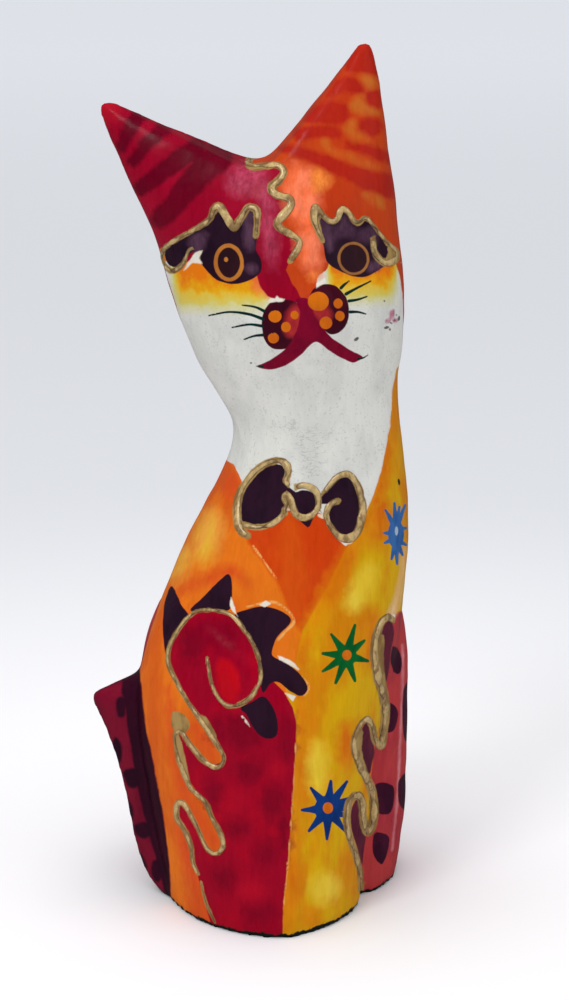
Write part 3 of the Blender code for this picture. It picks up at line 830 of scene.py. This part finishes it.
# Each row is one pot of paint: its field, its colour and the one it wanders to, how far it does so
# and in how many patches a metre, its seed, how far its edge wobbles and how soft that edge is in
# millimetres, how deep its streaks are, and scratched if they are drawn slantwise.
BODY_COATS = """
    ember 208,74,26 206,88,26 0.6 90 40 2.6 3.2
    coral 178,56,58 152,40,56 0.7 90 4 0.5 0.4
    saddle 128,30,50 104,20,42 0.7 70 5 3 2
    ridge 206,124,128 180,84,92 0.7 200 41 0.6 0.5
    spot 54,14,36 78,20,46 0.5 160 6
    bib 198,60,10 208,86,16 0.6 80 3 1 1
    yellow 208,160,4 204,114,4 0.8 85 2 0.8 0.5 0.35
    amber 206,104,8 212,134,8 0.8 110 46 3.5 4
    peach 226,188,140 220,164,90 0.6 160 47 1.6 1.6
    pale_yellow 220,184,44 226,194,62 0.7 90 61 2.6 3.2
    sunny 228,158,62 222,176,44 0.6 120 42 3 4.5
    red 148,0,32 166,0,30 0.8 100 7 0.3 0.2 0.3
    lit_red 170,4,34 160,2,32 0.6 160 54 3 3
    dark_red 132,0,31 120,0,28 0.6 160 8 4.4 3
    bright_red 188,4,22 166,4,26 0.4 120 9 1.2 1.4
    tail 118,14,40 92,10,34 0.7 90 10 0.4 0.3
    tail_dark 52,10,30 38,8,26 0.6 90 11 0.6 0.5
    tail_spot 42,10,28 58,12,34 0.5 160 12 0.6 0.6
    pane 96,32,50 70,20,42 0.6 160 13 0.3 0.2
    rim 232,166,90 212,152,88 0.6 240 43 0.6 0.3
    white 219,218,211 200,201,195 0.6 110 14 0.5 0.25 0.14
"""
colour = brushed((222, 112, 24), (204, 84, 20), 0.8, 70.0, 1.0, 0.35)
colour = painted_over(colour, BODY_COATS)

# The white has gone grey in specks and along fine wrinkles, and the forehead is warm with yellow
# and orange that was wiped over it.
specks = maths(tree, "MULTIPLY_ADD", wander, 0.35, noise(tree, place, 1900.0, 2.0))
specks = ranged(tree, specks, 0.58, 0.74, 0.0, 0.36)
wrinkles = noise(tree, pulled(tree, place, 2.2), 330.0, 3.0)
wrinkles = maths(tree, "COMPARE", wrinkles, 0.5, 0.016)
cracked = ranged(tree, field_of(tree, "cracked"), -0.8, 2.4, 0.0, 0.5)
wrinkles = maths(tree, "MULTIPLY", wrinkles, cracked)
grime = maths(tree, "MAXIMUM", specks, wrinkles)
grime = maths(tree, "MULTIPLY_ADD", cracked, 0.25, grime)
ground = ranged(tree, field_of(tree, "white"), 0.0, 0.3)
grime = maths(tree, "MULTIPLY", grime, ground, clamp=True)
colour = blended(tree, grime, colour, daylight(150, 152, 146))
warmth = field_of(tree, "blush")
warmth = maths(tree, "MULTIPLY", maths(tree, "MULTIPLY_ADD", wander, 0.9, 1.0), warmth, clamp=True)
WARM_TINTS = ((0.02, 0.36, (206, 198, 104)), (0.26, 0.62, (222, 172, 20)), (0.52, 0.88, (222, 116, 12)))
for start, end, tint in WARM_TINTS:
    colour = blended(tree, ranged(tree, warmth, start, end), colour, daylight(*tint))

TOP_COATS = """
    flush 230,118,66 224,92,50 0.6 200 51 2 2.4
    crimson 144,2,34 160,6,42 0.65 75 15 0.45 0.25 0.3
    worn_red 162,40,68 184,68,94 0.8 300 16 3 3 0.6 scratched
    orange_hood 190,64,20 184,50,20 0.65 80 17 0.4 0.25 0.3
    worn_orange 240,110,64 248,130,92 0.8 300 18 3 3 0.3 scratched
    worn_gold 236,132,56 238,116,58 0.7 260 52 2.6 2.6 0.5 scratched
    stripe 98,0,26 112,2,30 0.5 140 19 1.8 1.1
    band 174,36,20 166,30,22 0.6 140 20 1.8 1.2
    tip 164,12,36 170,18,32 0.5 140 44 1.8 1.8
    patch 190,98,34 192,76,24 0.8 260 21 1.4 1.6
    plum 42,20,36 28,12,28 0.6 150 22 0.28 0.18 0.25
    plum_light 84,54,74 64,38,56 0.8 220 53 1.6 1.4 0.5 scratched
    iris 48,22,28 38,16,26 0.6 150 45 0.2 0.3
    green 4,98,40 4,70,32 0.6 260 23 0.25 0.16
    blue 10,54,120 6,36,90 0.6 260 24 0.25 0.16
    sky 56,104,164 32,78,140 0.6 260 25 0.25 0.16
    cheek 66,10,28 48,8,26 0.6 160 26 0.25 0.18
    cheek_glow 176,44,46 132,20,36 0.6 160 27 1.2 1.8
    mouth 128,2,40 98,2,34 0.5 160 28 0.3 0.2
    ochre 188,116,46 158,88,34 0.5 240 29 0.3 0.2
    ochre_faint 158,102,52 126,82,50 0.5 240 30 0.3 0.2
    ochre_dot 206,106,14 190,82,12 0.5 240 31 0.3 0.16
    pale_blue 176,190,204 150,170,190 0.5 240 32 0.1 0.2
    smudge 176,96,122 202,160,170 0.8 900 33 1.2 0.5 0.8 scratched
    fleck 92,88,90 124,116,116 0.6 900 55 0.4 0.2
    bare 226,220,206 216,190,150 0.7 300 34 0.7 0.3
    green_black 6,42,38 4,32,30 0.5 200 35 0.1 0.14
    gilt 164,134,80 112,80,44 0.7 220 36 0.6 0.25
    foot 16,26,20 30,38,30 0.6 120 37 2.6 0.3
"""
colour = painted_over(colour, TOP_COATS)

dullness = ranged(tree, bristle, 0.3, 0.7, 0.26, 0.46)
pulls = maths(tree, "MULTIPLY_ADD", bristle, 0.16, noise(tree, place, 190.0, 2.0))
varnish = {"Coat Weight": 0.06, "Coat Roughness": 0.16, "Specular IOR Level": 0.04}
finished(tree, colour, dullness, pulls, 0.6, 0.5 * MM, varnish)
skin_mesh.materials.clear()
skin_mesh.materials.append(paint)


# The gold lines. Thick ochre-gold paint squeezed from a paper cone along the edges of the colours,
# so that each line stands up as a rounded, slightly uneven bead, with painted shade along its foot.
# Each line is given with its widths from start to end.
GOLD = [
    ("""262,154 251,157 250,166 265,166 277,165 284,171 280,179 271,188 277,195 290,199 290,207 279,220 279,227
    298,239 299,246 290,261""", (6, 7, 6, 8.5, 7, 8, 6, 5)),
    ("""256,236 257,222 257,211 251,206.5 246,209 240,220 234,229 226,216 219,206 213,210 210,219 199,227
    186,234 174,241 164,249 162,262 172,271 182,265 186,257 189,250 193,248""",
    (5.5, 7, 6.5, 6, 7, 5.5, 4, 4.5, 5.5, 3, 2)),
    ("""323,241 318,230 314.5,218 315.5,206.5 322,214 330,221 337,220 341.5,208.5 349,213 353,220 359,223
    365.5,217.5 374,226 381,235 388,243 396,251 395,260 385,263 377,256 373.5,248 373,239""",
    (3.5, 8, 4.5, 5, 4.5, 5, 3, 3.5, 7, 6, 5.5)),
    ("""290,486 285,481 288,475 288,468 282,461 270,462 259,468 250,477 242,489 238,500 237,512 238,524 242,532
    248,536""", (3.5, 5.5, 7, 6.5, 6.5, 8, 9, 6)),
    ("243,524 252,527 262,527 272,524 280,518 284,513", (5, 5.5, 4.5)),
    ("""296,489 299,486 305,485.5 312,488 317,493 318.5,500 317.5,508 312,515 304,518 297,515.5 293,509
    291.5,502 287,494 284,498 287,504 284,510 286,514""", (4, 6, 5, 6.5, 5, 4)),
    ("""338,501 332,503 328,508 326,515 329,524 335,533 342,538 351,538 358,531 361,521 363,509 361,496 357,484
    350,475 344,474 336,478 329,486 324,492""", (5.5, 4.5, 5, 7.5, 7, 6, 5, 4.5)),
    ("""207,658 209,672 213,688 220,700 228,706 238,705 249,699 257,688 261,675 258,657 252,642 242,627 231,615
    218,611 206,610 195,612 184,622 175,635 169,648 168,663 174,677 181,691 189,704 196,714 203,723 210,734
    218,746 224,758 219,767 211,766 200,757 189,743 180,731 175,737 178,755 184,773 190,787 198,795 206,803
    212,818 221,835 223,847 215,854 206,847 198,829 189,812 183,803 177,805 177,818 185,831 191,847 193,863
    198,874""", (3, 3.4, 4.6, 3.4, 3.6, 3, 3.6, 4.6, 3.6, 5, 3.4, 5.4, 3.4, 4.8, 4.4, 5, 3.4, 5.4, 5, 3)),
    ("201,882 205,900 210,912 215,923", (1.6, 2.2, 1.6)),
    ("""393,620 388,617 381,623 376,638 375,657 378,676 382,691 385,704 385,719 383,734 381,746 375,739 372,726
    367,719 359,727 354,745 359,764 367,779 372,792 374,810 372,826 367,832 363,817 362,801 357,795 350,801
    347,815 348,831 353,847 358,863 361,878 361,890""", (5, 8, 9.5, 9, 8, 6, 5.5, 8, 9, 8, 7, 7.5, 6, 5)),
]
BEAD_SPACING = 0.4 * MM
BEAD_RADIUS = 0.64
BEAD_SINK = 0.39
BEAD_SIDES = 12
BEAD_EVENING = 3
END_CROWDING = 0.15
END_ROUNDING = 0.6
SQUEEZE_BEAT = 2.6 * MM
SQUEEZE_CHANGE = 0.26
BEAD_UNEVENNESS = 0.3 * MM
LUMPS_PER_METRE = 420.0
GILT_EDGE = 0.6
GILT_FACING = 0.02
WELL_OUTSIDE = 100.0

carved = BVHTree.FromPolygons([tuple(v) for v in places], [tuple(p.vertices) for p in skin_mesh.polygons])


def from_seat(line):
    """The sight lines from the eye to the points of a line of the drawing."""
    return [(EYE, sight_line(x, y)) for x, y in rounded(points_of(line), closed=False, steps=12)]


def across_back(line):
    """Level lines of sight from straight behind, through points given by x and z in millimetres."""
    return [(np.array([x + CHEST[0], 120.0, z]) * MM, np.array([0.0, -1.0, 0.0])) for x, z in line]


def round_body(line):
    """Level lines of sight from all round towards the middle, at points given by angle and z."""
    sights = []
    for turn, z in line:
        inward = np.array([math.cos(math.radians(turn)), -math.sin(math.radians(turn)), 0.0])
        middle = np.array([*TAIL_MIDDLE, z]) + CHEST
        sights.append(((middle - inward * WELL_OUTSIDE) * MM, inward))
    return sights


def laid_on_wood(sights, line_widths):
    """The bead where sight lines meet the wood: its middle line, and its radius at each point."""
    points, widths = [], []
    for (origin, direction), along in zip(sights, np.linspace(0, 1, len(sights))):
        hit, normal, _, _ = carved.ray_cast(Vector(origin), Vector(direction))
        if hit is None:
            continue
        width = np.interp(along, np.linspace(0, 1, len(line_widths)), line_widths) / SHEET_PER_MM * MM
        points.append(np.array(hit - normal * width * BEAD_SINK))
        widths.append(width)
    points, widths = np.array(points), np.array(widths)
    run = np.concatenate([[0], np.cumsum(np.linalg.norm(np.diff(points, axis=0), axis=1))])
    count = max(int(run[-1] / BEAD_SPACING), 8)
    crowded = run[-1] * (1 - np.cos(np.linspace(0, math.pi, count))) / 2
    stations = crowded * END_CROWDING + np.linspace(0, run[-1], count) * (1 - END_CROWDING)
    points = np.stack([np.interp(stations, run, points[:, axis]) for axis in range(3)], axis=1)
    for _ in range(BEAD_EVENING):
        points[1:-1] = (points[:-2] + 2 * points[1:-1] + points[2:]) / 4
    hand = np.random.default_rng(len(stations))
    beats = np.arange(0.0, run[-1] + SQUEEZE_BEAT, SQUEEZE_BEAT)
    squeeze = np.interp(stations, beats, hand.uniform(1 - SQUEEZE_CHANGE, 1 + SQUEEZE_CHANGE, len(beats)))
    widths = np.interp(stations, run, widths) * squeeze
    closing = np.clip(np.minimum(stations, run[-1] - stations) / (widths * END_ROUNDING), 0.02, 1)
    return points, widths * BEAD_RADIUS * np.sqrt(1 - (1 - closing) ** 2)


# Behind, three plainer lines follow the edges of the colours: one under the hood, one down the
# back and one over the haunches.
nape = []
for across in np.linspace(-20.0, 21.0, 60):
    height = HOOD_EDGE + hood_scallop(across)
    x = EARS_MIDDLE[0] + across * math.cos(HEAD_LEAN) - height * math.sin(HEAD_LEAN)
    nape.append((x, EARS_MIDDLE[1] + across * math.sin(HEAD_LEAN) + height * math.cos(HEAD_LEAN)))
spine = [(SPINE + spine_wave(z), z) for z in np.linspace(84.0, 119.0, 60)]
over_haunches = [(turn, RUMP_TOP + rump_scallop(turn)) for turn in np.linspace(28.0, 186.0, 120)]
gold_runs = [laid_on_wood(from_seat(line), widths) for line, widths in GOLD]
gold_runs.append(laid_on_wood(across_back(nape), (6, 5, 6.5, 5)))
gold_runs.append(laid_on_wood(across_back(spine), (6, 5.5, 5)))
gold_runs.append(laid_on_wood(round_body(over_haunches), (6, 5, 6.5, 5, 6)))

gold = material_of("gold_paint")
tree = gold.node_tree
place = put(tree, "ShaderNodeTexCoord").outputs["Object"]
bristle = noise(tree, place, 1500.0, 3.0)
colour = brushed((204, 174, 116), (136, 104, 58), 0.9, 480.0, 50.0, 0.8, bristle)
# Painted shade: the gold darkens along the foot of each bead, where it meets the paint.
height = field_of(tree, "standing")
height = maths(tree, "MULTIPLY_ADD", noise(tree, place, 900.0, 3.0), -0.3, height)
foot_shade = ranged(tree, height, -0.12, 0.06, 0.8, 0.0)
colour = blended(tree, foot_shade, colour, daylight(72, 40, 26))
dullness = ranged(tree, bristle, 0.3, 0.7, 0.28, 0.5)
varnish = {"Metallic": 0.1, "Coat Weight": 0.5, "Coat Roughness": 0.16}
finished(tree, colour, dullness, bristle, 0.5, 0.15 * MM, varnish)

bead_tree = bpy.data.node_groups.new("Squeezed line", "GeometryNodeTree")
tree = bead_tree
tree.is_modifier = True
tree.interface.new_socket("Geometry", in_out="INPUT", socket_type="NodeSocketGeometry")
tree.interface.new_socket("Geometry", in_out="OUTPUT", socket_type="NodeSocketGeometry")
sockets(tree, [("Unevenness", NUMBER, 0.1 * MM), ("Lumps per metre", NUMBER, 260.0), ("Seed", NUMBER, 0.0)])
sockets(tree, [("Sides", "NodeSocketInt", 12)])
tree.interface.new_socket("Paint", in_out="INPUT", socket_type="NodeSocketMaterial")
given = put(tree, "NodeGroupInput").outputs
path = put(tree, "GeometryNodeMeshToCurve", {"Mesh": given["Geometry"]}).outputs[0]
radius = put(tree, "GeometryNodeInputNamedAttribute", {"Name": "bead"}, data_type="FLOAT").outputs[0]
section = {"Resolution": given["Sides"], "Radius": 1.0}
section = put(tree, "GeometryNodeCurvePrimitiveCircle", section).outputs[0]
tube = {"Curve": path, "Profile Curve": section, "Scale": radius, "Fill Caps": True}
tube = put(tree, "GeometryNodeCurveToMesh", tube).outputs[0]
lumps = {"Scale": given["Lumps per metre"], "W": given["Seed"], "Detail": 1.0}
lumps = put(tree, "ShaderNodeTexNoise", lumps, noise_dimensions="4D").outputs[0]
lumps = maths(tree, "ADD", lumps, -0.5)
lumps = maths(tree, "MULTIPLY", lumps, given["Unevenness"])
outward = put(tree, "GeometryNodeInputNormal").outputs[0]
push = put(tree, "ShaderNodeVectorMath", {0: outward, 3: lumps}, operation="SCALE").outputs[0]
uneven = put(tree, "GeometryNodeSetPosition", {"Geometry": tube, "Offset": push}).outputs[0]
smooth = put(tree, "GeometryNodeSetShadeSmooth", {"Geometry": uneven}).outputs[0]
whole = put(tree, "GeometryNodeRealizeInstances", {"Geometry": smooth}).outputs[0]
dressed = put(tree, "GeometryNodeSetMaterial", {"Geometry": whole, "Material": given["Paint"]}).outputs[0]
put(tree, "NodeGroupOutput", {0: dressed})

chain_points, chain_edges, chain_radii = [], [], []
for points, radii in gold_runs:
    first = len(chain_points)
    chain_points += [tuple(point) for point in points]
    chain_edges += [(first + i, first + i + 1) for i in range(len(points) - 1)]
    chain_radii += list(radii)
chains = bpy.data.meshes.new("gold_lines")
chains.from_pydata(chain_points, chain_edges, [])
keep_with(chains, "bead", chain_radii)
gold_lines = bpy.data.objects.new("gold_lines", chains)
scene.collection.objects.link(gold_lines)
beads = gold_lines.modifiers.new("beads", "NODES")
beads.node_group = bead_tree
set_to = {"Unevenness": BEAD_UNEVENNESS, "Lumps per metre": LUMPS_PER_METRE, "Seed": 4.0, "Sides": BEAD_SIDES}
set_to["Paint"] = gold
for item in bead_tree.interface.items_tree:
    if item.item_type == "SOCKET" and item.in_out == "INPUT" and item.name in set_to:
        beads[item.identifier] = set_to[item.name]
bead_mesh = applied(gold_lines)

work = bmesh.new()
work.from_mesh(bead_mesh)
bmesh.ops.remove_doubles(work, verts=work.verts, dist=WELD)
bmesh.ops.recalc_face_normals(work, faces=work.faces)
work.to_mesh(bead_mesh)
work.free()
standing = []
for vertex in bead_mesh.vertices:
    foot, normal, _, _ = carved.find_nearest(vertex.co)
    standing.append((vertex.co - foot).dot(normal) / MM)
keep_with(bead_mesh, "standing", standing)
bead_mesh.shade_smooth()
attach(gold_lines, "root")

# Each line also leaves a thin flat edge of gold on the paint beside it, and a few narrow gaps
# between lines are filled with flat gold.
coats["gilt"] = [stroke(line, widths=[width + GILT_EDGE for width in widths]) for line, widths in GOLD]
lay("gilt",
    area("172,713 181,713 190,722 187,731 178,732 172,727"), area("200,717 207,718 216,734 214,741 206,733"),
    area("173,733 178,733 184,752 190,784 183,778 175,756"),
    area("386,247 395,249 399,255 396,263 386,265 380,262 387,257 388,251"),
    area("377,640 384,636 384,668 389,700 383,698 377,670"),
    area("358,734 363,732 362,752 368,776 361,768 356,750"))

facing = (normals * (EYE - places)).sum(axis=1) / MM * GILT_FACING
keep_with(skin_mesh, "gilt", within(drawn("gilt", on_sheet(places)), facing))


# The studio. A plain pale floor with painted light in its colour: paler round the figure as a painted
# pool of light, greyer further off and paler again far away; under a wide soft sky, with a small square
# lamp above to the left and a broad weak one from the right, and pale light all round. The camera sits
# where the drawing is seen from.
FLOOR_HALF = 6.0
FILM_HEIGHT = 36.0
AIMED_AT = Vector((0.0, 0.0, 0.1))

corners = [(x * FLOOR_HALF, y * FLOOR_HALF, 0) for x, y in ((-1, -1), (1, -1), (1, 1), (-1, 1))]
floor_mesh = bpy.data.meshes.new("floor")
floor_mesh.from_pydata(corners, [], [(0, 1, 2, 3)])
floor = bpy.data.objects.new("floor", floor_mesh)
scene.collection.objects.link(floor)
paper = bpy.data.materials.new("paper")
paper.use_nodes = True
tree = paper.node_tree
place = put(tree, "ShaderNodeTexCoord").outputs["Object"]
# Painted light in the floor's colour: paler near the figure, greyer further off, and paler again far away where it
# meets the sky.
distance = put(tree, "ShaderNodeVectorMath", {0: place}, operation="LENGTH").outputs["Value"]
paler = ranged(tree, distance, 0.05, 0.42, kind="SMOOTHSTEP")
shade = blended(tree, paler, daylight(244, 243, 245), daylight(218, 220, 224))
paler = ranged(tree, distance, 0.5, 3.0, kind="SMOOTHSTEP")
shade = blended(tree, paler, shade, daylight(232, 235, 240))
tree.links.new(shade, tree.nodes["Principled BSDF"].inputs["Base Color"])
tree.nodes["Principled BSDF"].inputs["Roughness"].default_value = 0.9
floor_mesh.materials.append(paper)
floor.visible_glossy = False


def lamp(name, kind, strength, breadth, stands):
    """A soft lamp that faces the figure: a square one, or a wide patch of sky."""
    data = bpy.data.lights.new(name, kind)
    data.energy = strength
    if kind == "SUN":
        data.angle = math.radians(breadth)
    else:
        data.size = breadth
    made = bpy.data.objects.new(name, data)
    made.location = stands
    made.rotation_euler = (AIMED_AT - Vector(stands)).to_track_quat("-Z", "Y").to_euler()
    made.visible_glossy = kind != "SUN"
    scene.collection.objects.link(made)


lamp("ceiling", "SUN", 1.95, 70.0, (-0.2, -0.1, 2.0))
lamp("main_lamp", "AREA", 3.6, 0.3, (-0.45, -0.7, 0.85))
lamp("fill_lamp", "AREA", 1.8, 0.9, (0.9, -0.5, 0.5))

world = bpy.data.worlds.new("daylight")
world.use_nodes = True
sky = world.node_tree.nodes["Background"]
sky.inputs["Color"].default_value = daylight(236, 238, 242)
mirrored = put(world.node_tree, "ShaderNodeLightPath").outputs["Is Glossy Ray"]
dimmed = ranged(world.node_tree, mirrored, 0.0, 1.0, 0.42, 0.1)
looked_at = put(world.node_tree, "ShaderNodeLightPath").outputs["Is Camera Ray"]
seen = ranged(world.node_tree, looked_at, 0.0, 1.0, dimmed, 0.9)
world.node_tree.links.new(seen, sky.inputs["Strength"])
scene.world = world
scene.view_settings.view_transform = "Standard"

lens = bpy.data.cameras.new("camera")
lens.sensor_fit = "VERTICAL"
lens.sensor_height = FILM_HEIGHT
lens.lens = FILM_HEIGHT * SHEET_DISTANCE / SHEET_HEIGHT
lens.clip_start = 0.01
camera = bpy.data.objects.new("camera", lens)
camera.location = EYE
camera.rotation_euler = Vector(LOOKS_AT - EYE).to_track_quat("-Z", "Y").to_euler()
scene.collection.objects.link(camera)
scene.camera = camera
